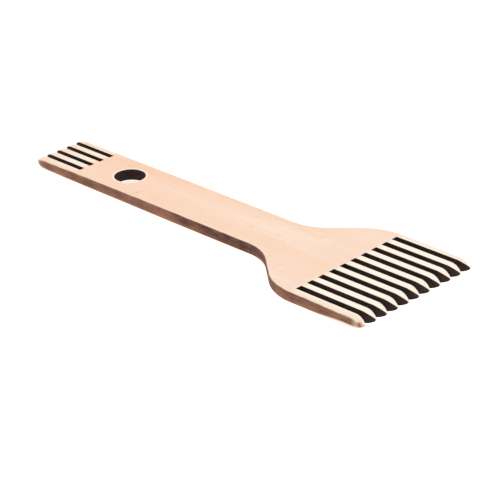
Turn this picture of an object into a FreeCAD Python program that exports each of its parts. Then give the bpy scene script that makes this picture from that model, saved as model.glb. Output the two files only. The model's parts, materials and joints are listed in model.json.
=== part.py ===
"""A wooden weaving comb with teeth at both ends, sawn from one board of beech.

The wide comb, called the head, beats the weft down across a tapestry. The narrow comb at the end
of the handle does the same in small areas. The whole tool is one piece of wood: teeth, head,
shoulders and handle run along one grain and are cut from one flat board.

The origin is the centre of the underside. +X points along the tool towards the head, +Y across
it, and +Z up through the board.
"""
import FreeCAD, Part
import math
import os

# Driving dimensions, in millimetres, and in degrees for the one angle.
OVERALL_LENGTH = 199.0       # from the tips of one comb to the tips of the other
THICKNESS = 5.0              # of the board
ARRIS_RADIUS = 0.6           # rounding along the long outer edges
SHOULDER_ANGLE = 41.0        # slope of the shoulders, measured from the length of the tool
NECK_RADIUS = 21.0           # hollow curve from the handle into the shoulder
SHOULDER_RADIUS = 26.0       # round curve from the shoulder into the head
SHOULDER_TO_SLOTS = 0.0      # straight side between the shoulder and the roots of the head's slots
HOLE_DIAMETER = 13.0         # the hole that the tool hangs by
HOLE_FROM_SLOTS = 20.0       # centre of the hole from the roots of the handle's slots

HEAD_TEETH = 11
HEAD_TOOTH_WIDTH = 3.0
HEAD_SLOT_WIDTH = 3.0
HEAD_SLOT_DEPTH = 35.0
HEAD_POINT_LENGTH = 5.4      # length over which a tooth narrows, seen from above
HEAD_BEVEL_LENGTH = 6.5      # length over which a tooth thins, seen from the side

HANDLE_TEETH = 5
HANDLE_TOOTH_WIDTH = 3.0
HANDLE_SLOT_WIDTH = 2.5
HANDLE_SLOT_DEPTH = 25.0
HANDLE_POINT_LENGTH = 4.6
HANDLE_BEVEL_LENGTH = 5.2

TIP_WIDTH = 0.6              # what is left of a tooth's width at its tip
TIP_THICKNESS = 1.0          # what is left of the board's thickness at the tips

CUTTER_REACH = 2.0           # how far a cutting shape stands out of the wood


def vector(x, y, z=0.0):
    return FreeCAD.Vector(x, y, z)


def line(start, end):
    return Part.LineSegment(start, end).toShape()


def arc(start, end, radius, bulge):
    """A short arc of the given radius. bulge is +1 to bow to the left of the way it runs, -1 right."""
    chord = end.sub(start)
    middle = start.add(end).multiply(0.5)
    left = FreeCAD.Vector(-chord.y, chord.x, 0.0).normalize()
    rise = radius - math.sqrt(radius ** 2 - (chord.Length / 2.0) ** 2)
    return Part.Arc(start, middle.add(left.multiply(bulge * rise)), end).toShape()


def ogive_radius(length, drop):
    """Radius of an arc that leaves a straight line smoothly and drops from it over a length."""
    return (length ** 2 + drop ** 2) / (2.0 * drop)


def comb_width(teeth, tooth_width, slot_width):
    return teeth * tooth_width + (teeth - 1) * slot_width


HEAD_END = OVERALL_LENGTH / 2.0
HANDLE_END = -OVERALL_LENGTH / 2.0
HEAD_ROOT = HEAD_END - HEAD_SLOT_DEPTH
HANDLE_ROOT = HANDLE_END + HANDLE_SLOT_DEPTH
HEAD_HALF = comb_width(HEAD_TEETH, HEAD_TOOTH_WIDTH, HEAD_SLOT_WIDTH) / 2.0
HANDLE_HALF = comb_width(HANDLE_TEETH, HANDLE_TOOTH_WIDTH, HANDLE_SLOT_WIDTH) / 2.0
HOLE_X = HANDLE_ROOT + HOLE_FROM_SLOTS


def side_of_board():
    """Edges of one long side, from the handle's tips to the head's, on the +Y side."""
    slope = math.radians(SHOULDER_ANGLE)
    rise, run = math.sin(slope), math.cos(slope)
    arcs_rise = (NECK_RADIUS + SHOULDER_RADIUS) * (1.0 - run)
    straight = (HEAD_HALF - HANDLE_HALF - arcs_rise) / rise

    shoulder_end = HEAD_ROOT - SHOULDER_TO_SLOTS
    shoulder_start = shoulder_end - SHOULDER_RADIUS * rise
    neck_end = shoulder_start - straight * run
    neck_start = neck_end - NECK_RADIUS * rise
    neck_end_y = HANDLE_HALF + NECK_RADIUS * (1.0 - run)

    handle_drop = (HANDLE_TOOTH_WIDTH - TIP_WIDTH) / 2.0
    head_drop = (HEAD_TOOTH_WIDTH - TIP_WIDTH) / 2.0
    points = [
        vector(HANDLE_END, HANDLE_HALF - handle_drop),
        vector(HANDLE_END + HANDLE_POINT_LENGTH, HANDLE_HALF),
        vector(neck_start, HANDLE_HALF),
        vector(neck_end, neck_end_y),
        vector(shoulder_start, neck_end_y + straight * rise),
        vector(shoulder_end, HEAD_HALF),
        vector(HEAD_END - HEAD_POINT_LENGTH, HEAD_HALF),
        vector(HEAD_END, HEAD_HALF - head_drop),
    ]
    edges = [
        arc(points[0], points[1], ogive_radius(HANDLE_POINT_LENGTH, handle_drop), 1),
        line(points[1], points[2]),
        arc(points[2], points[3], NECK_RADIUS, -1),
        line(points[3], points[4]),
        arc(points[4], points[5], SHOULDER_RADIUS, 1),
        line(points[5], points[6]),
        arc(points[6], points[7], ogive_radius(HEAD_POINT_LENGTH, head_drop), 1),
    ]
    return edges, points[0], points[-1]


def board():
    """The outline of the tool without its slots, with its long edges rounded over."""
    edges, handle_corner, head_corner = side_of_board()
    mirrored = [edge.mirror(vector(0, 0), vector(0, 1)) for edge in edges]
    ends = [
        line(head_corner, vector(head_corner.x, -head_corner.y)),
        line(vector(handle_corner.x, -handle_corner.y), handle_corner),
    ]
    outline = Part.Wire(Part.sortEdges(edges + mirrored + ends)[0])
    blank = Part.Face(outline).extrude(vector(0, 0, THICKNESS))
    return blank.makeFillet(ARRIS_RADIUS, long_edges(blank))


def long_edges(blank):
    """The edges of the two faces of the board, apart from those across its ends."""
    chosen = []
    for edge in blank.Edges:
        box = edge.BoundBox
        flat = box.ZLength < 1e-6
        across_an_end = box.XLength < 1e-6
        if flat and not across_an_end:
            chosen.append(edge)
    return chosen


def thinned_ends():
    """The side view of the tool, which is flat with both ends thinned to a blunt edge."""
    drop = (THICKNESS - TIP_THICKNESS) / 2.0
    low, high = drop, THICKNESS - drop
    handle_radius = ogive_radius(HANDLE_BEVEL_LENGTH, drop)
    head_radius = ogive_radius(HEAD_BEVEL_LENGTH, drop)
    handle_start = HANDLE_END + HANDLE_BEVEL_LENGTH
    head_start = HEAD_END - HEAD_BEVEL_LENGTH
    corners = [
        vector(handle_start, 0.0),
        vector(head_start, 0.0),
        vector(HEAD_END, low),
        vector(HEAD_END, high),
        vector(head_start, THICKNESS),
        vector(handle_start, THICKNESS),
        vector(HANDLE_END, high),
        vector(HANDLE_END, low),
    ]
    edges = [
        line(corners[0], corners[1]),
        arc(corners[1], corners[2], head_radius, -1),
        line(corners[2], corners[3]),
        arc(corners[3], corners[4], head_radius, -1),
        line(corners[4], corners[5]),
        arc(corners[5], corners[6], handle_radius, -1),
        line(corners[6], corners[7]),
        arc(corners[7], corners[0], handle_radius, -1),
    ]
    profile = Part.Face(Part.Wire(edges))
    profile.rotate(vector(0, 0), vector(1, 0), 90)
    profile.translate(vector(0, HEAD_HALF + CUTTER_REACH))
    return profile.extrude(vector(0, -2.0 * (HEAD_HALF + CUTTER_REACH)))


def slot(root, end, middle, slot_width, tooth_width, point_length):
    """The gap between two teeth, with straight walls that flare out round the tips of the teeth."""
    outward = math.copysign(1.0, end - root)
    drop = (tooth_width - TIP_WIDTH) / 2.0
    radius = ogive_radius(point_length, drop)
    half = slot_width / 2.0
    mouth = half + drop
    flare = end - outward * point_length
    beyond = end + outward * CUTTER_REACH
    points = [
        vector(root, middle - half),
        vector(flare, middle - half),
        vector(end, middle - mouth),
        vector(beyond, middle - mouth),
        vector(beyond, middle + mouth),
        vector(end, middle + mouth),
        vector(flare, middle + half),
        vector(root, middle + half),
    ]
    edges = [
        line(points[0], points[1]),
        arc(points[1], points[2], radius, outward),
        line(points[2], points[3]),
        line(points[3], points[4]),
        line(points[4], points[5]),
        arc(points[5], points[6], radius, outward),
        line(points[6], points[7]),
        line(points[7], points[0]),
    ]
    face = Part.Face(Part.Wire(edges))
    face.translate(vector(0, 0, -CUTTER_REACH))
    return face.extrude(vector(0, 0, THICKNESS + 2.0 * CUTTER_REACH))


def slots(root, end, teeth, slot_width, tooth_width, point_length):
    pitch = slot_width + tooth_width
    gaps = teeth - 1
    middles = [(index - (gaps - 1) / 2.0) * pitch for index in range(gaps)]
    return [slot(root, end, middle, slot_width, tooth_width, point_length) for middle in middles]


def hanging_hole():
    foot = vector(HOLE_X, 0, -CUTTER_REACH)
    return Part.makeCylinder(HOLE_DIAMETER / 2.0, THICKNESS + 2.0 * CUTTER_REACH, foot)


def weaving_comb():
    cutters = slots(HEAD_ROOT, HEAD_END, HEAD_TEETH,
                    HEAD_SLOT_WIDTH, HEAD_TOOTH_WIDTH, HEAD_POINT_LENGTH)
    cutters += slots(HANDLE_ROOT, HANDLE_END, HANDLE_TEETH,
                     HANDLE_SLOT_WIDTH, HANDLE_TOOTH_WIDTH, HANDLE_POINT_LENGTH)
    cutters.append(hanging_hole())
    comb = board().common(thinned_ends()).cut(cutters)
    return comb.Solids[0] if len(comb.Solids) == 1 else comb


def main():
    os.makedirs("parts", exist_ok=True)
    shape = weaving_comb()
    shape.exportStep("parts/weaving_comb.step")
    box = shape.optimalBoundingBox()
    print("weaving_comb: valid", shape.isValid(), "solids", len(shape.Solids), "faces", len(shape.Faces))
    print("size", round(box.XLength, 3), round(box.YLength, 3), round(box.ZLength, 3),
          "volume", round(shape.Volume, 1))


main()
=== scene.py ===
# %% [markdown]
# # A wooden weaving comb
#
# A weaver beats each row of weft down onto the last with a comb like this one. It has a wide head
# of eleven teeth for open stretches, and five small teeth at the end of its handle for tight
# corners. The whole comb is one piece of beech, cut from a thin board by a laser and then sanded.
# So the model is one piece too, and its looks come from two things: how the wood is shaped, and
# where the cutting has scorched it.
#
# The comb's size and place come from the frame, which is loaded first and never moved.

# %% Load the frame
import bpy
import bmesh
import json
import math
from mathutils import Euler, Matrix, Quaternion, Vector


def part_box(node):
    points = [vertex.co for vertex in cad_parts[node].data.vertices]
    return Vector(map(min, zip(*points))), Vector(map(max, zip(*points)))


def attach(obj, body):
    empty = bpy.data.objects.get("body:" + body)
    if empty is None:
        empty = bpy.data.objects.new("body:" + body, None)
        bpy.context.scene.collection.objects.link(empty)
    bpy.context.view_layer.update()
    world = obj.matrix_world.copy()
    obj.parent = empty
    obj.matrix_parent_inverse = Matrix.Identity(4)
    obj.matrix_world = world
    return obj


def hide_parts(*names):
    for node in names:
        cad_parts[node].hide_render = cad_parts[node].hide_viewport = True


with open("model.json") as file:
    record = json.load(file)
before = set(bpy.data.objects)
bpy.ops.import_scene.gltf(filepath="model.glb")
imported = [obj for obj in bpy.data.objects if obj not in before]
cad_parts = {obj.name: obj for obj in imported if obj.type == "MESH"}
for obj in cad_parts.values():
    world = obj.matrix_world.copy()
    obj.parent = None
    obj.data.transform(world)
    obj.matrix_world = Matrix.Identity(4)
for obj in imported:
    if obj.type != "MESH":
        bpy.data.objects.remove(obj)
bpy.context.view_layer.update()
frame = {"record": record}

# %% [markdown]
# ## The comb's sizes
#
# Blender works in metres, and a comb is easier to think about in millimetres, so each size is
# written in millimetres times `MM`. The overall sizes are read from the frame's box, and the
# hole's from its mount in the record. The rest are the sizes that a maker would mark on the board.

# %% Sizes
MM = 0.001
LOW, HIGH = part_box("weaving_comb")
HANDLE_END, HEAD_END = LOW.x, HIGH.x
HEAD_HALF = HIGH.y
UNDERSIDE, TOPSIDE = LOW.z, HIGH.z
THICKNESS = TOPSIDE - UNDERSIDE
MID_HEIGHT = (UNDERSIDE + TOPSIDE) / 2

HOLE_MOUNT = next(mount for mount in frame["record"]["mounts"] if mount["name"] == "hanging_hole")
HOLE_PLACE = Vector(HOLE_MOUNT["pos_m"])
HOLE_RADIUS = HOLE_MOUNT["dims"]["r_mm"] * MM


class Teeth:
    """One of the comb's two rows of teeth."""

    def __init__(self, count, tooth, slot, depth, point, bevel, end):
        self.count = count
        self.tooth = tooth
        self.slot = slot
        self.pitch = tooth + slot
        self.point = point
        self.bevel = bevel
        self.end = end
        self.outward = math.copysign(1, end)
        self.root = end - self.outward * depth
        self.half = (count * tooth + (count - 1) * slot) / 2

    def from_tip(self, x):
        """How far a place lies from the tips of these teeth, inwards along the comb."""
        return self.outward * (self.end - x)


HEAD = Teeth(11, tooth=3.0 * MM, slot=3.0 * MM, depth=35 * MM,
             point=5.4 * MM, bevel=6.5 * MM, end=HEAD_END)
HANDLE = Teeth(5, tooth=3.0 * MM, slot=2.5 * MM, depth=25 * MM,
               point=4.6 * MM, bevel=5.2 * MM, end=HANDLE_END)
print("head is", 2 * HEAD.half / MM, "mm wide, handle", 2 * HANDLE.half / MM, "mm")

# %% [markdown]
# ## Small helpers
#
# Edit-mode operators act on whatever is selected, so most of the work of scripting them is
# choosing the right faces or edges. `choose` does that by a test on each one's place or normal.

# %% Helpers for selecting and for modifiers
NEAR = 0.004 * MM


def deselect_everything():
    if bpy.context.object and bpy.context.object.mode != "OBJECT":
        bpy.ops.object.mode_set(mode="OBJECT")
    bpy.ops.object.select_all(action="DESELECT")


def make_active(thing):
    deselect_everything()
    thing.select_set(True)
    bpy.context.view_layer.objects.active = thing


def choose(kind, test):
    """In edit mode, selects only the vertices, edges or faces that pass the test."""
    bpy.ops.mesh.select_mode(type=kind)
    bpy.ops.mesh.select_all(action="DESELECT")
    mesh = bmesh.from_edit_mesh(bpy.context.object.data)
    elements = {"VERT": mesh.verts, "EDGE": mesh.edges, "FACE": mesh.faces}[kind]
    for element in elements:
        if test(element):
            element.select_set(True)
    mesh.select_flush_mode()
    bmesh.update_edit_mesh(bpy.context.object.data)


def finish_modifier(thing, kind, **settings):
    """Adds a modifier to a piece, sets it up and applies it."""
    make_active(thing)
    modifier = thing.modifiers.new(kind.title(), kind)
    for name, value in settings.items():
        setattr(modifier, name, value)
    bpy.ops.object.modifier_apply(modifier=modifier.name)


def count_faces(thing):
    print(thing.name, "has", len(thing.data.polygons), "faces")


deselect_everything()

# %% [markdown]
# ## The tip of a tooth
#
# A tooth narrows twice on its way to the tip: seen from above its sides close in, and seen from
# the side its top and bottom do, like the nose of a bullet. Both are an arc that leaves the
# straight part smoothly, called an ogive, which ends in a small round nose. So one formula gives
# half of what is left of a tooth, in width or in thickness, at any distance from its tip.

# %% How much of a tooth is left near its tip
TIP_WIDTH = 0.6 * MM
TIP_THICKNESS = 1.0 * MM
NOSE_FLAT = 0.01 * MM


def arc_drop(distance, radius):
    """How far an arc has dropped below its tangent, a distance along that tangent."""
    return radius - math.sqrt(radius ** 2 - distance ** 2)


def ogive_radius(length, drop):
    """The radius of the arc that drops by a given amount over a given length."""
    return (length ** 2 + drop ** 2) / (2 * drop)


def ogive_slope(length, drop):
    """The angle that such an arc has turned through at its end."""
    return math.asin(length / ogive_radius(length, drop))


def nose_radius(length, full, tip):
    """The radius of the nose that fits between two ogives and just reaches the tip."""
    slope = ogive_slope(length, full - tip)
    return tip * math.cos(slope) / (1 - math.sin(slope))


def half_left(from_tip, length, full, tip):
    """Half of a tooth, where it is `full` on the straight and would be `tip` if it ended blunt."""
    into_ogive = min(max(length - from_tip, 0), length)
    half = full - arc_drop(into_ogive, ogive_radius(length, full - tip))
    radius = nose_radius(length, full, tip)
    if from_tip < radius:
        reach = max(from_tip, NOSE_FLAT)
        half = min(half, math.sqrt(reach * (2 * radius - reach)))
    return half


def half_tooth(row, x):
    return half_left(row.from_tip(x), row.point, row.tooth / 2, TIP_WIDTH / 2)


def half_thickness(row, x):
    return half_left(row.from_tip(x), row.bevel, THICKNESS / 2, TIP_THICKNESS / 2)


for row in (HEAD, HANDLE):
    midway = row.end - row.outward * row.bevel / 2
    thickness = 2 * half_thickness(row, midway) / MM
    print("halfway along its bevel a tooth is", round(thickness, 2), "mm thick")

# %% [markdown]
# ## The outline
#
# Seen from above, each long side runs straight along the handle, turns out through a hollow curve,
# crosses a short straight shoulder, and turns back through a round curve into the head. The
# outline is only needed at a few stations along the comb, close together where it bends.

# %% How wide the comb is at each place along it
SHOULDER_SLOPE = math.radians(41)
NECK_RADIUS = 21 * MM
SHOULDER_RADIUS = 26 * MM

SHOULDER_RISE = math.sin(SHOULDER_SLOPE)
SHOULDER_RUN = math.cos(SHOULDER_SLOPE)
CURVES_RISE = (NECK_RADIUS + SHOULDER_RADIUS) * (1 - SHOULDER_RUN)
SHOULDER_END = HEAD.root
SHOULDER_START = SHOULDER_END - SHOULDER_RADIUS * SHOULDER_RISE
NECK_END = SHOULDER_START - (HEAD_HALF - HANDLE.half - CURVES_RISE) / SHOULDER_RISE * SHOULDER_RUN
NECK_START = NECK_END - NECK_RADIUS * SHOULDER_RISE


def half_width(x):
    if x < NECK_START:
        side = HANDLE.half
    elif x < NECK_END:
        side = HANDLE.half + arc_drop(x - NECK_START, NECK_RADIUS)
    elif x < SHOULDER_START:
        straight = (SHOULDER_START - x) * SHOULDER_RISE / SHOULDER_RUN
        side = HEAD.half - arc_drop(SHOULDER_END - SHOULDER_START, SHOULDER_RADIUS) - straight
    elif x < SHOULDER_END:
        side = HEAD.half - arc_drop(SHOULDER_END - x, SHOULDER_RADIUS)
    else:
        side = HEAD.half
    row = HEAD if x > 0 else HANDLE
    return side - row.tooth / 2 + half_tooth(row, x)


print("the neck starts to turn out at", round(NECK_START / MM, 1), "mm")
print("the shoulder ends at", round(SHOULDER_END / MM, 1), "mm")

# %% The stations
NECK_STEPS = 12
SHOULDER_STEPS = 14
OGIVE_STEPS = 10
NOSE_STEPS = 6
STRAIGHT_STEP = 5 * MM


def arc_stations(start, radius, angle, steps):
    """Places along x that divide an arc evenly. The arc is level at its start."""
    return [start + radius * math.sin(angle * step / steps) for step in range(steps + 1)]


def straight_stations(start, end):
    """Places along x between two others, evenly spaced and leaving both out."""
    steps = max(1, round((end - start) / STRAIGHT_STEP))
    return [start + (end - start) * step / steps for step in range(1, steps)]


def tip_stations(row):
    """Places along x over which a row of teeth thins, from the board to the tips."""
    half, tip = THICKNESS / 2, TIP_THICKNESS / 2
    slope = ogive_slope(row.bevel, half - tip)
    nose = nose_radius(row.bevel, half, tip)
    nose_start = nose * (1 - math.sin(slope))
    ogive = [row.bevel - place for place in
             arc_stations(0, ogive_radius(row.bevel, half - tip), slope, OGIVE_STEPS)]
    distances = [distance for distance in ogive if distance > nose_start]
    for step in range(NOSE_STEPS + 1):
        angle = slope + (math.pi / 2 - slope) * step / NOSE_STEPS
        distances.append(nose * (1 - math.sin(angle)))
    return [row.end - row.outward * distance for distance in distances]


HEAD_TIP = tip_stations(HEAD)
HANDLE_TIP = tip_stations(HANDLE)

STATIONS = HANDLE_TIP[::-1]
STATIONS += straight_stations(HANDLE_TIP[0], NECK_START)
STATIONS += arc_stations(NECK_START, NECK_RADIUS, SHOULDER_SLOPE, NECK_STEPS)
STATIONS += arc_stations(SHOULDER_END, -SHOULDER_RADIUS, SHOULDER_SLOPE, SHOULDER_STEPS)[::-1]
STATIONS += straight_stations(SHOULDER_END, HEAD_TIP[0])
STATIONS += HEAD_TIP
print(len(STATIONS), "stations along the comb")

# %% [markdown]
# ## The blank
#
# The blank could be a cube cut by a loop of bisecting planes, but growing it is closer to how a
# long shape is made by hand: a short block stands at the handle's end, and its end face is
# extruded from station to station, and scaled where the width changes. The blank itself stays as
# wide as the head, and the slots' cutters are grown by the same function further down.

# %% Grow a bar along x
def end_face_at(x):
    return lambda face: abs(face.normal.x) > 0.99 and abs(face.calc_center_median().x - x) < NEAR


def grow_along_x(name, stations, half_width_at, low, high):
    """A closed bar whose half width follows a formula from its first station to its last."""
    first, second = stations[0], stations[1]
    start_half = half_width_at(first)
    bpy.ops.mesh.primitive_cube_add(
        size=1,
        location=((first + second) / 2, 0, (low + high) / 2),
        scale=(abs(second - first), 2 * start_half, high - low),
    )
    bar = bpy.context.object
    bar.name = name
    bpy.ops.object.transform_apply(location=True, rotation=True, scale=True)
    bpy.ops.object.mode_set(mode="EDIT")
    choose("FACE", end_face_at(second))
    bpy.ops.transform.resize(value=(1, half_width_at(second) / start_half, 1), center_override=(0, 0, 0))
    for here, there in zip(stations[1:], stations[2:]):
        bpy.ops.mesh.extrude_region_move(TRANSFORM_OT_translate={"value": (there - here, 0, 0)})
        widening = half_width_at(there) / half_width_at(here)
        bpy.ops.transform.resize(value=(1, widening, 1), center_override=(0, 0, 0))
    bpy.ops.object.mode_set(mode="OBJECT")
    return bar


comb = grow_along_x("beech_weaving_comb", STATIONS, lambda x: HEAD_HALF, UNDERSIDE, TOPSIDE)
count_faces(comb)

# %% [markdown]
# ## Rounding the long edges
#
# The comb's long edges are eased on a sanding belt, and some stretches get more of it than others:
# the shoulders, and both ends, where the tool is tipped against the belt until the outer teeth are
# almost round. A Bevel modifier has one width, but each edge can carry a weight from 0 to 1 that
# scales it, so the width is the largest rounding and the weights do the rest. A stretch is given
# by where the extra sanding starts, where it is complete, and how much more it takes off.
#
# This is done while the blank is still straight, because a bevel on a bent edge would pull its
# points out of their stations, and the next step needs them in line.

# %% Round the long edges
ARRIS_ABOVE, ARRIS_BELOW = 0.6 * MM, 0.2 * MM
SANDED_ABOVE = [
    (-62 * MM, -86 * MM, 0.6 * MM),
    (-92 * MM, -98 * MM, 0.6 * MM),
    (32 * MM, 42 * MM, 1.4 * MM),
    (46 * MM, 57 * MM, -1.4 * MM),
    (64 * MM, 80 * MM, 0.3 * MM),
    (86 * MM, 97 * MM, 0.8 * MM),
]
SANDED_BELOW = [
    (-18 * MM, -40 * MM, 0.45 * MM),
    (-86 * MM, -98 * MM, 0.8 * MM),
    (22 * MM, 36 * MM, 0.35 * MM),
    (46 * MM, 60 * MM, -0.2 * MM),
    (70 * MM, 94 * MM, 0.8 * MM),
]
LARGEST_ARRIS = 2.4 * MM
ARRIS_SEGMENTS = 6


def smooth_step(value, start, end):
    part = min(max((value - start) / (end - start), 0), 1)
    return part * part * (3 - 2 * part)


def arris_at(x, least, stretches):
    """How far a long edge is rounded over, at a place along the comb."""
    return least + sum(extra * smooth_step(x, start, end) for start, end, extra in stretches)


def long_edge_weight(start, end):
    if abs(end.x - start.x) < NEAR:
        return 0
    middle = (start.x + end.x) / 2
    if start.z > MID_HEIGHT:
        return arris_at(middle, ARRIS_ABOVE, SANDED_ABOVE) / LARGEST_ARRIS
    return arris_at(middle, ARRIS_BELOW, SANDED_BELOW) / LARGEST_ARRIS


def round_long_edges(blank):
    weights = blank.data.attributes.new("bevel_weight_edge", "FLOAT", "EDGE")
    for edge in blank.data.edges:
        start, end = [blank.data.vertices[index].co for index in edge.vertices]
        weights.data[edge.index].value = long_edge_weight(start, end)
    finish_modifier(blank, "BEVEL", limit_method="WEIGHT", width=LARGEST_ARRIS,
                    segments=ARRIS_SEGMENTS, use_clamp_overlap=False)
    blank.data.attributes.remove(blank.data.attributes["bevel_weight_edge"])


round_long_edges(comb)
count_faces(comb)

# %% [markdown]
# ## Shaping the blank
#
# The blank now has a ring of vertices at each station. At each one, the two sides are moved in to
# where the outline lies, rounding and all, and near the ends the whole ring is scaled about the
# middle of the board's thickness, to what the bullet shape leaves there.

# %% Shape each station
def move_sides(x):
    inwards = HEAD_HALF - half_width(x)
    for side in (1, -1):
        choose("VERT", lambda vertex: abs(vertex.co.x - x) < NEAR and vertex.co.y * side > 0)
        bpy.ops.transform.translate(value=(0, -side * inwards, 0))


def thin_ring(x, row):
    choose("VERT", lambda vertex: abs(vertex.co.x - x) < NEAR)
    left = half_thickness(row, x) / (THICKNESS / 2)
    bpy.ops.transform.resize(value=(1, 1, left), center_override=(0, 0, MID_HEIGHT))


make_active(comb)
bpy.ops.object.mode_set(mode="EDIT")
for station in STATIONS:
    move_sides(station)
for row, stations in ((HEAD, HEAD_TIP), (HANDLE, HANDLE_TIP)):
    for station in stations:
        thin_ring(station, row)
bpy.ops.object.mode_set(mode="OBJECT")
print("shaped", len(STATIONS), "stations, and thinned", len(HEAD_TIP) + len(HANDLE_TIP), "of them")

# %% [markdown]
# The stations have now done their work on the flat faces, where they only leave lines across the
# wood. A limited dissolve takes out each edge between two faces that lie in one plane, which
# leaves the flat faces whole for the cutting that comes next.

#
# Some operators hand back the same shape with its faces listed in another order each time. A
# dissolve goes through that list, so it would leave slightly different meshes on different runs.
# `put_in_order` lists everything again by place, around each such step, and the runs agree. The
# cutters are put in order in the same way before they cut.

# %% Put a mesh in a fixed order
def from_lowest(corners):
    """The same corners in the same direction, starting from the lowest number."""
    start = corners.index(min(corners))
    return corners[start:] + corners[:start]


def put_in_order(thing):
    """Lists a mesh's vertices, edges and faces again by place. The shape doesn't change."""
    mesh = thing.data
    places = [tuple(vertex.co) for vertex in mesh.vertices]
    order = sorted(range(len(places)), key=lambda index: places[index])
    rank = {index: number for number, index in enumerate(order)}
    edges = sorted(sorted(rank[index] for index in edge.vertices) for edge in mesh.edges)
    faces = sorted((from_lowest([rank[index] for index in face.vertices]), face.material_index)
                   for face in mesh.polygons)
    relisted = bmesh.new()
    corners = [relisted.verts.new(places[index]) for index in order]
    for start, end in edges:
        relisted.edges.new((corners[start], corners[end]))
    for numbers, material in faces:
        face = relisted.faces.new([corners[number] for number in numbers])
        face.material_index = material
    relisted.to_mesh(mesh)
    relisted.free()


# %% Clear the flat faces
FLAT = math.radians(0.02)


def clean_all(thing, operator, **settings):
    """Runs one edit-mode operator on the whole of a mesh, which is in order before and after."""
    put_in_order(thing)
    make_active(thing)
    bpy.ops.object.mode_set(mode="EDIT")
    bpy.ops.mesh.select_all(action="SELECT")
    operator(**settings)
    bpy.ops.object.mode_set(mode="OBJECT")
    put_in_order(thing)


def clear_flat_faces(thing):
    clean_all(thing, bpy.ops.mesh.remove_doubles, threshold=NEAR / 2)
    clean_all(thing, bpy.ops.mesh.dissolve_limited, angle_limit=FLAT, delimit={"MATERIAL"})


clear_flat_faces(comb)
count_faces(comb)

# %% [markdown]
# ## Cutting the slots and the hole
#
# A laser cuts straight down, so each slot is the shape of a cutter taken out of the board with a
# Boolean. Near the mouth a cutter widens to either side and leaves the teeth's points between it
# and its neighbours. No real edge is perfectly sharp, and a light sanding has barely eased the
# arrises. A bevel after the cut would have to thread its way round every point, so the cutters
# carry the rounding instead: just inside each face of the board they open out along a quarter
# circle. At the tips the wood falls away below that, and the edges stay crisp.

# %% Open a cutter out at both faces of the board
CUTTER_REACH = 2 * MM
CUT_ARRIS = 0.2 * MM
CUT_ARRIS_STEPS = 3


def extrude_end_faces(rise, widening, centre):
    bpy.ops.mesh.extrude_region_move(TRANSFORM_OT_translate={"value": (0, 0, rise)})
    bpy.ops.transform.resize(value=(*widening, 1), center_override=centre)


def open_out(cutter, centre, reach):
    """Extends a cutter up and down. It opens by CUT_ARRIS at a distance `reach` from its centre."""
    make_active(cutter)
    bpy.ops.object.mode_set(mode="EDIT")
    for up in (1, -1):
        choose("FACE", lambda face: face.normal.z * up > 0.999)
        rise, opening = 0.0, 0.0
        for step in range(1, CUT_ARRIS_STEPS + 1):
            angle = math.pi / 2 * step / CUT_ARRIS_STEPS
            next_rise, next_opening = CUT_ARRIS * math.sin(angle), CUT_ARRIS * (1 - math.cos(angle))
            widening = [(size + next_opening) / (size + opening) for size in reach]
            extrude_end_faces(up * (next_rise - rise), widening, centre)
            rise, opening = next_rise, next_opening
        extrude_end_faces(up * CUTTER_REACH, (1, 1), centre)
    bpy.ops.object.mode_set(mode="OBJECT")


# %% Grow and copy the cutters
HOLE_SIDES = 96


def slot_cutter(row, stations, name):
    def half_gap(x):
        return row.pitch / 2 - half_tooth(row, x)

    beyond = row.end + row.outward * CUTTER_REACH
    along = [row.root] + stations + [beyond]
    cutter = grow_along_x(name, along, half_gap, UNDERSIDE + CUT_ARRIS, TOPSIDE - CUT_ARRIS)
    open_out(cutter, centre=(beyond, 0, 0), reach=(abs(beyond - row.root), row.slot / 2))
    return cutter


def hole_cutter():
    bpy.ops.mesh.primitive_cylinder_add(
        vertices=HOLE_SIDES, radius=HOLE_RADIUS, depth=THICKNESS - 2 * CUT_ARRIS, location=HOLE_PLACE)
    cylinder = bpy.context.object
    bpy.ops.object.transform_apply(location=True, rotation=True, scale=True)
    open_out(cylinder, centre=HOLE_PLACE, reach=(HOLE_RADIUS, HOLE_RADIUS))
    return cylinder


def spread_cutters(row, cutter):
    """Copies one cutter to every gap of its row."""
    gaps = row.count - 1
    copies = []
    for gap in range(gaps):
        copy = cutter.copy()
        copy.data = cutter.data.copy()
        bpy.context.collection.objects.link(copy)
        make_active(copy)
        copy.location.y = (gap - (gaps - 1) / 2) * row.pitch
        bpy.ops.object.transform_apply(location=True, rotation=True, scale=True)
        copies.append(copy)
    bpy.data.objects.remove(cutter)
    return copies


cutters = spread_cutters(HEAD, slot_cutter(HEAD, HEAD_TIP, "head_slot"))
cutters += spread_cutters(HANDLE, slot_cutter(HANDLE, HANDLE_TIP, "handle_slot"))
cutters.append(hole_cutter())
for cutter in cutters:
    cutter.select_set(True)
bpy.context.view_layer.objects.active = cutters[0]
bpy.ops.object.join()
cutting_piece = bpy.context.object
clean_all(cutting_piece, bpy.ops.mesh.normals_make_consistent, inside=False)
count_faces(cutting_piece)

# %% [markdown]
# The Boolean can hand a cut face the cutter's own material. That is just what a laser does, so the
# two materials are made now, empty, and every wall that a cutter leaves comes out in the scorched
# one. Their nodes are filled in further down.

# %% Two materials, and the cut
face_wood = bpy.data.materials.new("sanded_beech")
cut_wood = bpy.data.materials.new("laser_cut_beech")
comb.data.materials.append(face_wood)
cutting_piece.data.materials.append(cut_wood)
finish_modifier(comb, "BOOLEAN", operation="DIFFERENCE", object=cutting_piece, solver="EXACT",
                material_mode="TRANSFER")
bpy.data.objects.remove(cutting_piece)
clear_flat_faces(comb)
count_faces(comb)
print("materials now", [slot.name for slot in comb.material_slots])

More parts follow.
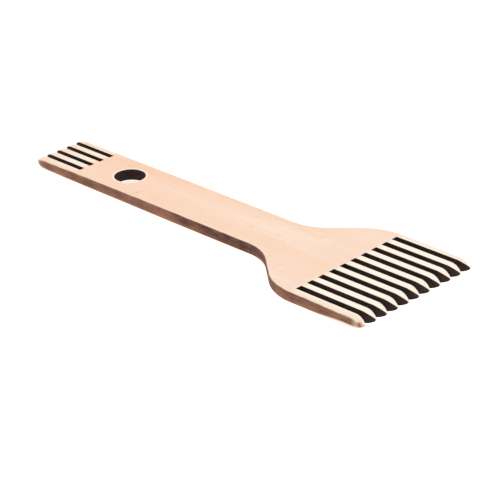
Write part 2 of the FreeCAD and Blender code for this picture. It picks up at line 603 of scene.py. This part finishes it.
# %% [markdown]
# ## Smooth shading
#
# The curves are made of short flat faces. Shading them smooth hides that, but only where they meet
# at a small angle, so that the arrises of the slots stay crisp. Weighted normals then keep the
# large flat faces from being tinted by the small round ones beside them.

# %% Smooth the shading
SMOOTH_ANGLE = math.radians(35)

make_active(comb)
bpy.ops.object.shade_smooth_by_angle(angle=SMOOTH_ANGLE)
finish_modifier(comb, "WEIGHTED_NORMAL", keep_sharp=True)
print("smooth across", sum(face.use_smooth for face in comb.data.polygons), "faces")

# %% [markdown]
# ## Helpers for nodes
#
# A finish is a small program made of nodes. These helpers add a node and wire its inputs in one
# call, so that each pattern below reads as a few lines of sums. Every pattern is placed by the
# comb's own object coordinates, in metres, and is drawn out along x, which is the way the grain
# runs. A pattern's scale is then how many times it repeats in a metre, along each axis.

# %% Helpers for nodes
def colour(red, green, blue):
    """The linear colour that nodes use, from one given as it looks on screen, from 0 to 255."""
    def linear(value):
        part = value / 255
        return part / 12.92 if part <= 0.04045 else ((part + 0.055) / 1.055) ** 2.4
    return (linear(red), linear(green), linear(blue), 1.0)


def new_group(name, inputs, outputs):
    """A shader node group, from inputs as (name, kind, value) and outputs as (name, kind)."""
    group = bpy.data.node_groups.new(name, "ShaderNodeTree")
    for label, kind, value in inputs:
        socket = group.interface.new_socket(label, in_out="INPUT", socket_type="NodeSocket" + kind)
        socket.default_value = value
    for label, kind in outputs:
        group.interface.new_socket(label, in_out="OUTPUT", socket_type="NodeSocket" + kind)
    given = group.nodes.new("NodeGroupInput").outputs
    result = group.nodes.new("NodeGroupOutput").inputs
    return group, given, result


def fill(tree, node, inputs):
    """Sets a node's inputs, each to a value or to the output that feeds it."""
    for key, value in inputs.items():
        if isinstance(value, bpy.types.NodeSocket):
            tree.links.new(value, node.inputs[key])
        else:
            node.inputs[key].default_value = value


def add_node(tree, kind, inputs, **settings):
    node = tree.nodes.new("ShaderNode" + kind)
    for name, value in settings.items():
        setattr(node, name, value)
    fill(tree, node, inputs)
    return node


def maths(tree, operation, first, second=0.0, clamp=False):
    node = add_node(tree, "Math", {0: first, 1: second}, operation=operation, use_clamp=clamp)
    return node.outputs[0]


def ramp(tree, value, start, end, from_value=0.0, to_value=1.0):
    """A smooth change from one value to another as the input passes from start to end."""
    inputs = {"Value": value, "From Min": start, "From Max": end,
              "To Min": from_value, "To Max": to_value}
    return add_node(tree, "MapRange", inputs, interpolation_type="SMOOTHSTEP").outputs["Result"]


def blend(tree, factor, first, second):
    node = add_node(tree, "Mix", {0: factor, 6: first, 7: second}, data_type="RGBA")
    return node.outputs[2]


def place_on_comb(tree):
    return add_node(tree, "TexCoord", {}).outputs["Object"]


def along_comb(tree):
    return add_node(tree, "SeparateXYZ", {"Vector": place_on_comb(tree)}).outputs["X"]


def across_comb(tree):
    return add_node(tree, "SeparateXYZ", {"Vector": place_on_comb(tree)}).outputs["Y"]


def drawn_out(tree, repeats):
    mapping = add_node(tree, "Mapping", {"Vector": place_on_comb(tree), "Scale": repeats})
    return mapping.outputs["Vector"]


def noise(tree, repeats, detail=2.0, roughness=0.5, distortion=0.0):
    inputs = {"Vector": drawn_out(tree, repeats), "Scale": 1.0, "Detail": detail,
              "Roughness": roughness, "Distortion": distortion}
    return add_node(tree, "TexNoise", inputs).outputs["Fac"]


def about_zero(tree, value, size):
    """Turns a pattern from 0 to 1 into one that swings either side of zero."""
    return maths(tree, "MULTIPLY", maths(tree, "SUBTRACT", value, 0.5), size)


# %% [markdown]
# ## Beech
#
# Beech is a pale, even, slightly pink wood. What tells it from other pale woods is its flecks:
# short brown dashes, a millimetre or two long, that all lie along the grain. Under them are soft
# cloudy bands a few millimetres wide, where the growth rings run out at the face, and very fine
# fibres. A Voronoi pattern drawn out along the grain gives one fleck to each cell, and a random
# value in each cell leaves most of them faint. The inner teeth are paler than the board, and so is
# a ring round the hole. This is partly sanding and partly a painted highlight, the bright halo
# along the edges of the dark cuts. One faint mark lies across the grain near the hole.

# %% Beech grain
# Where the inner teeth and a ring round the hole turn paler: partly sanding, partly a painted highlight.
HEAD_SANDED_AND_HIGHLIT = (HEAD.root - 1.5 * MM, HEAD.root + 3 * MM)
HANDLE_SANDED_AND_HIGHLIT = (HANDLE.root + 1 * MM, HANDLE.root - 3 * MM)
HANDLE_TIPS_FADE = (HANDLE.root - 8 * MM, HANDLE_END)
HEAD_OUTER_TOOTH = (HEAD.half - 3.2 * MM, HEAD.half - 0.6 * MM)
HANDLE_OUTER_TOOTH = (HANDLE.half - 3.2 * MM, HANDLE.half - 1 * MM)
HANDLE_OUTER_START = (HANDLE.root + 2 * MM, HANDLE.root)
RIM_RING = (HOLE_RADIUS + 0.4 * MM, HOLE_RADIUS + 1.3 * MM)
FLECK_EDGE = (0.12, 0.34)
FAINTER_ON_TEETH = 0.7
MARK_PLACE = (-40.4 * MM, -9.2 * MM, TOPSIDE)
MARK_SIZE = (0.55 * MM, 3.7 * MM, 0.5 * MM)
MARK_TURN = math.radians(-14)


def beech_grain():
    # The pale sanded colour also stands for a painted highlight beside the dark cuts.
    group, given, result = new_group(
        "beech_grain",
        inputs=[("Pale", "Color", colour(252, 225, 205)), ("Warm", "Color", colour(246, 203, 170)),
                ("Sanded And Highlight", "Color", colour(255, 247, 229)), ("Fleck", "Color", colour(200, 158, 134)),
                ("Fleck Strength", "Float", 0.4)],
        outputs=[("Color", "Color"), ("Height", "Float")])

    clouds = noise(group, (16, 60, 60), detail=2)
    rings = noise(group, (11, 330, 330), detail=3, roughness=0.6, distortion=0.4)
    towards_head = about_zero(group, ramp(group, along_comb(group), -60 * MM, 30 * MM), -0.5)
    tone = maths(group, "ADD", about_zero(group, clouds, 1.3), about_zero(group, rings, 0.65))
    tone = maths(group, "ADD", maths(group, "ADD", tone, towards_head), 0.5, clamp=True)
    board = blend(group, tone, given["Pale"], given["Warm"])

    # Paler inner teeth: partly sanded wood, partly a painted highlight along the slots.
    on_head = ramp(group, along_comb(group), *HEAD_SANDED_AND_HIGHLIT, 0.0, 0.95)
    on_handle = ramp(group, along_comb(group), *HANDLE_SANDED_AND_HIGHLIT, 0.0, 0.6)
    handle_tips = ramp(group, along_comb(group), *HANDLE_TIPS_FADE, 1.0, 0.35)
    teeth = maths(group, "ADD", on_head, maths(group, "MULTIPLY", on_handle, handle_tips))
    across = maths(group, "ABSOLUTE", across_comb(group))
    past_head_slots = ramp(group, across, *HEAD_OUTER_TOOTH, 0.0, 0.8)
    past_handle_slots = ramp(group, across, *HANDLE_OUTER_TOOTH, 0.0, 0.6)
    at_handle = ramp(group, along_comb(group), *HANDLE_OUTER_START)
    past_handle_slots = maths(group, "MULTIPLY", past_handle_slots, at_handle)
    outer = maths(group, "MAXIMUM", past_head_slots, past_handle_slots)
    teeth = maths(group, "MULTIPLY", teeth, maths(group, "SUBTRACT", 1.0, outer))
    flat_place = drawn_out(group, (1, 1, 0))
    from_hole = add_node(group, "VectorMath", {0: flat_place, 1: (HOLE_PLACE.x, HOLE_PLACE.y, 0)},
                         operation="DISTANCE").outputs["Value"]
    # A paler ring round the hole: partly sanding, partly a painted highlight on its rim.
    rim = ramp(group, from_hole, *RIM_RING, 0.6, 0.0)
    wood = blend(group, maths(group, "MAXIMUM", teeth, rim), board, given["Sanded And Highlight"])

    cells = add_node(group, "TexVoronoi", {"Vector": drawn_out(group, (230, 900, 900)), "Scale": 1.0})
    dash = ramp(group, cells.outputs["Distance"], *FLECK_EDGE, 1.0, 0.0)
    chance = add_node(group, "SeparateColor", {"Color": cells.outputs["Color"]}).outputs["Red"]
    flecks = maths(group, "MULTIPLY", dash, ramp(group, chance, 0.6, 1.0))
    shown = maths(group, "MULTIPLY", flecks, given["Fleck Strength"])
    fainter = maths(group, "MULTIPLY", teeth, FAINTER_ON_TEETH)
    shown = maths(group, "MULTIPLY", shown, maths(group, "SUBTRACT", 1.0, fainter))
    on_mark = add_node(group, "Mapping", {
        "Vector": place_on_comb(group), "Location": MARK_PLACE,
        "Rotation": (0, 0, MARK_TURN), "Scale": MARK_SIZE}, vector_type="TEXTURE")
    from_mark = add_node(group, "VectorMath", {0: on_mark.outputs["Vector"]}, operation="LENGTH")
    mark = ramp(group, from_mark.outputs["Value"], 0.2, 1.0, 0.5, 0.0)
    flecked = blend(group, maths(group, "MAXIMUM", shown, mark), wood, given["Fleck"])

    fibres = noise(group, (60, 1100, 1100), detail=1)
    group.links.new(blend(group, ramp(group, fibres, 0.3, 0.75, 0.0, 0.07), flecked, given["Fleck"]),
                    result["Color"])
    height = maths(group, "SUBTRACT", fibres, maths(group, "MULTIPLY", flecks, 0.5))
    group.links.new(height, result["Height"])
    return group


# %% [markdown]
# ## Scorch
#
# The laser leaves every wall that it cuts brown or nearly black, with fine upright ripples where
# its beam pulsed. Sanding then takes the scorch off wherever it rounds an edge over. So the scorch
# needs no painting: it lies where the surface still stands upright, and ends raggedly where the
# surface begins to turn over. The normal's z says which, from 0 on a wall to 1 on a face. The lower
# arrises were held to the belt for longer, so there the scorch ends sooner, and it ends higher up
# the wall towards both ends of the comb.
#
# The beam dwells where the path bends, so the wall is darkest around the neck. It is also a little
# paler towards the underside. The outer teeth's tips have been sanded nearly clean, except that one
# of them keeps a small rusty stain.

# %% Scorch
DARKEST_PLACE = 20 * MM
DARK_REACH = (2 * MM, 52 * MM)
CLEANED_BELOW = 1.7
HEAD_LIFT_REACH, HEAD_LIFT = (68 * MM, 92 * MM), 1.5 * MM
HANDLE_LIFT_REACH, HANDLE_LIFT = (-84 * MM, -96 * MM), 1.2 * MM
SCORCH_FOOT = (UNDERSIDE - 0.5 * MM, UNDERSIDE + 0.3 * MM)
HEAD_TIPS_CLEANED = (HEAD_END - 6 * MM, HEAD_END - 2 * MM)
HANDLE_TIPS_CLEANED = (HANDLE_END + 4 * MM, HANDLE_END)
STAIN_PLACE = (97.5 * MM, -30.6 * MM, 2.5 * MM)
STAIN_REACH = (0.3 * MM, 1.7 * MM)
STAIN_COLOUR = colour(146, 76, 44)


def laser_scorch():
    group, given, result = new_group(
        "laser_scorch",
        inputs=[("Wood", "Color", colour(252, 224, 202)), ("Toast", "Color", colour(170, 122, 96)),
                ("Char", "Color", colour(88, 58, 50)), ("Wear And Highlight", "Color", colour(255, 247, 234)),
                ("Worn Pale", "Float", 0.3), ("Depth", "Float", 0.5), ("Dwell", "Float", 0.4),
                ("Paler Below", "Float", 0.4), ("Clean Tips", "Float", 0.0)],
        outputs=[("Color", "Color"), ("Height", "Float"), ("Mask", "Float")])

    normal = add_node(group, "NewGeometry", {}).outputs["Normal"]
    upright = add_node(group, "SeparateXYZ", {"Vector": normal}).outputs["Z"]
    turned = maths(group, "MAXIMUM", upright, maths(group, "MULTIPLY", upright, -CLEANED_BELOW))
    ragged = about_zero(group, noise(group, (240, 240, 500), detail=3, roughness=0.6), 0.5)
    mask = ramp(group, maths(group, "ADD", turned, ragged), 0.05, 0.75, 1.0, 0.0)
    up = add_node(group, "SeparateXYZ", {"Vector": place_on_comb(group)}).outputs["Z"]
    lift = maths(group, "ADD", ramp(group, along_comb(group), *HEAD_LIFT_REACH, 0.0, HEAD_LIFT),
                 ramp(group, along_comb(group), *HANDLE_LIFT_REACH, 0.0, HANDLE_LIFT))
    lift = maths(group, "MULTIPLY", lift, given["Clean Tips"])
    above_lift = ramp(group, maths(group, "SUBTRACT", up, lift), *SCORCH_FOOT)
    mask = maths(group, "MULTIPLY", mask, above_lift)
    head_tips = ramp(group, along_comb(group), *HEAD_TIPS_CLEANED, 0.0, 0.5)
    handle_tips = ramp(group, along_comb(group), *HANDLE_TIPS_CLEANED, 0.0, 0.6)
    both_tips = maths(group, "ADD", head_tips, handle_tips)
    cleaned = maths(group, "MULTIPLY", both_tips, given["Clean Tips"])
    from_stain = add_node(group, "VectorMath", {0: place_on_comb(group), 1: STAIN_PLACE},
                          operation="DISTANCE").outputs["Value"]
    stain = ramp(group, from_stain, *STAIN_REACH, 0.95, 0.0)
    stain = maths(group, "MULTIPLY", stain, given["Clean Tips"])
    mask = maths(group, "MULTIPLY", mask, maths(group, "SUBTRACT", 1.0, cleaned))

    mottle = about_zero(group, noise(group, (130, 130, 380), detail=4, roughness=0.65), 1.3)
    ripples = noise(group, (1500, 1500, 60), detail=1)
    past_darkest = maths(group, "SUBTRACT", along_comb(group), DARKEST_PLACE)
    from_darkest = maths(group, "ABSOLUTE", past_darkest)
    near_darkest = ramp(group, from_darkest, *DARK_REACH, 1.0, 0.0)
    dwell = maths(group, "MULTIPLY", near_darkest, given["Dwell"])
    low_down = ramp(group, up, MID_HEIGHT, UNDERSIDE)
    paler = maths(group, "MULTIPLY", low_down, given["Paler Below"])
    uneven = maths(group, "ADD", mottle, about_zero(group, ripples, 0.3))
    depth = maths(group, "ADD", given["Depth"], uneven)
    depth = maths(group, "SUBTRACT", maths(group, "ADD", depth, dwell), paler, clamp=True)
    burnt = blend(group, depth, given["Toast"], given["Char"])
    # Where the surface turns over at the arrises it is painted paler than bare wood: partly wear, partly
    # a painted highlight.
    worn = maths(group, "MULTIPLY", ramp(group, turned, 0.995, 0.75), given["Worn Pale"])
    bare = blend(group, worn, given["Wood"], given["Wear And Highlight"])
    stained = blend(group, stain, blend(group, mask, bare, burnt), STAIN_COLOUR)
    group.links.new(stained, result["Color"])
    group.links.new(maths(group, "MULTIPLY", ripples, mask), result["Height"])
    group.links.new(mask, result["Mask"])
    return group


# %% [markdown]
# ## The two finishes
#
# Both materials are the same two groups in a row: the grain gives the bare wood, and the scorch
# lays its brown over it. They differ in how deep the scorch goes. It is brown on the outside, where
# the wall was cleaned with the rest of the outline, and nearly black between the teeth.

# %% The two finishes
GRAIN = beech_grain()
SCORCH = laser_scorch()
BARE_ROUGHNESS = 0.6
CHAR_ROUGHNESS = 0.85
GRAIN_SHARE_OF_BUMP = 0.5
BUMP_STRENGTH = 0.2
BUMP_DISTANCE = 0.04 * MM


def finish_wood(material, **scorch_settings):
    material.use_nodes = True
    tree = material.node_tree
    shader = tree.nodes["Principled BSDF"]
    grain = add_node(tree, "Group", {}, node_tree=GRAIN).outputs
    scorch_inputs = {name.replace("_", " ").title(): value
                     for name, value in scorch_settings.items()}
    scorch_node = add_node(tree, "Group", {}, node_tree=SCORCH)
    fill(tree, scorch_node, {"Wood": grain["Color"], **scorch_inputs})
    scorch = scorch_node.outputs
    roughness = ramp(tree, scorch["Mask"], 0.0, 1.0, BARE_ROUGHNESS, CHAR_ROUGHNESS)
    grain_height = maths(tree, "MULTIPLY", grain["Height"], GRAIN_SHARE_OF_BUMP)
    height = maths(tree, "ADD", grain_height, scorch["Height"])
    bump = add_node(tree, "Bump", {
        "Height": height, "Strength": BUMP_STRENGTH, "Distance": BUMP_DISTANCE})
    fill(tree, shader, {"Base Color": scorch["Color"], "Roughness": roughness,
                        "Normal": bump.outputs["Normal"], "Specular IOR Level": 0.25})


# The arrises' paler colour is partly wear and partly a painted highlight. It is strongest round the
# cuts.
finish_wood(face_wood, toast=colour(168, 119, 94), char=colour(80, 50, 42), depth=0.58,
            dwell=0.32, paler_below=0.25, worn_pale=0.2, clean_tips=1.0)
finish_wood(cut_wood, toast=colour(80, 54, 52), char=colour(26, 16, 12), depth=0.6,
            dwell=0.0, paler_below=0.0, worn_pale=0.7, clean_tips=0.0)
print("finishes:", face_wood.name, "and", cut_wood.name)

# %% What the comb rides on and stands for
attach(comb, "root")
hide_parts("weaving_comb")

# %% [markdown]
# ## The studio
#
# Small pale goods are often shot on a light table, a white sheet that glows a little. It softens
# the shadow under the comb and lifts the rounded lower edges, so the floor here has some emission
# of its own beside its white paint. The sky is an even white, and one large softbox over the far
# side gives the faces a gentle direction.

# %% The floor
FLOOR_SIZE = 6.0
FLOOR_GAP = 0.05 * MM

deselect_everything()
bpy.ops.mesh.primitive_plane_add(size=FLOOR_SIZE, location=(0, 0, UNDERSIDE - FLOOR_GAP))
floor = bpy.context.object
floor.name = "floor"
light_table = bpy.data.materials.new("light_table")
light_table.use_nodes = True
fill(light_table.node_tree, light_table.node_tree.nodes["Principled BSDF"], {
    "Base Color": (0.9, 0.9, 0.9, 1), "Roughness": 0.9, "Specular IOR Level": 0.0,
    "Emission Color": (1, 1, 1, 1), "Emission Strength": 0.52})
floor.data.materials.append(light_table)
print("the floor lies", round(FLOOR_GAP / MM, 3), "mm under the comb")

# %% Light
SKY_STRENGTH = 0.87
SOFTBOX_PLACE = Vector((-0.7, 0.5, 1.3))
SOFTBOX_SIZE = 1.2
SOFTBOX_POWER = 5.3

world = bpy.data.worlds.new("studio")
bpy.context.scene.world = world
world.use_nodes = True
fill(world.node_tree, world.node_tree.nodes["Background"],
     {"Color": (1, 1, 1, 1), "Strength": SKY_STRENGTH})

bpy.ops.object.light_add(type="AREA", location=SOFTBOX_PLACE)
softbox = bpy.context.object
softbox.data.shape = "DISK"
softbox.data.size = SOFTBOX_SIZE
softbox.data.energy = SOFTBOX_POWER
softbox.rotation_euler = SOFTBOX_PLACE.to_track_quat("Z", "Y").to_euler()
bpy.context.scene.view_settings.view_transform = "Standard"
print("the softbox is", round(SOFTBOX_PLACE.length, 2), "m from the comb")

# %% [markdown]
# ## The camera
#
# A long lens from well back, about four fifths of a metre, keeps the comb's shape true. It looks
# down at the near side from the head's end, and is rolled a degree or two.

# %% The camera
CAMERA_AZIMUTH = math.radians(44.605)
CAMERA_ELEVATION = math.radians(26.535)
CAMERA_ROLL = math.radians(-1.618)
CAMERA_DISTANCE = 0.8246
CAMERA_AIM = Vector((26.5 * MM, -13.3 * MM, MID_HEIGHT))
CAMERA_LENS = 155
SENSOR_WIDTH = 36
NEAREST_SEEN = 0.01

turn = Euler((math.pi / 2 - CAMERA_ELEVATION, 0, CAMERA_AZIMUTH)).to_quaternion()
turn = turn @ Quaternion((0, 0, 1), CAMERA_ROLL)
camera_place = CAMERA_AIM + turn @ Vector((0, 0, CAMERA_DISTANCE))
bpy.ops.object.camera_add(location=camera_place, rotation=turn.to_euler())
camera = bpy.context.object
camera.data.lens = CAMERA_LENS
camera.data.sensor_width = SENSOR_WIDTH
camera.data.clip_start = NEAREST_SEEN
bpy.context.scene.camera = camera
print("the camera stands at", [round(value, 3) for value in camera_place], "m")
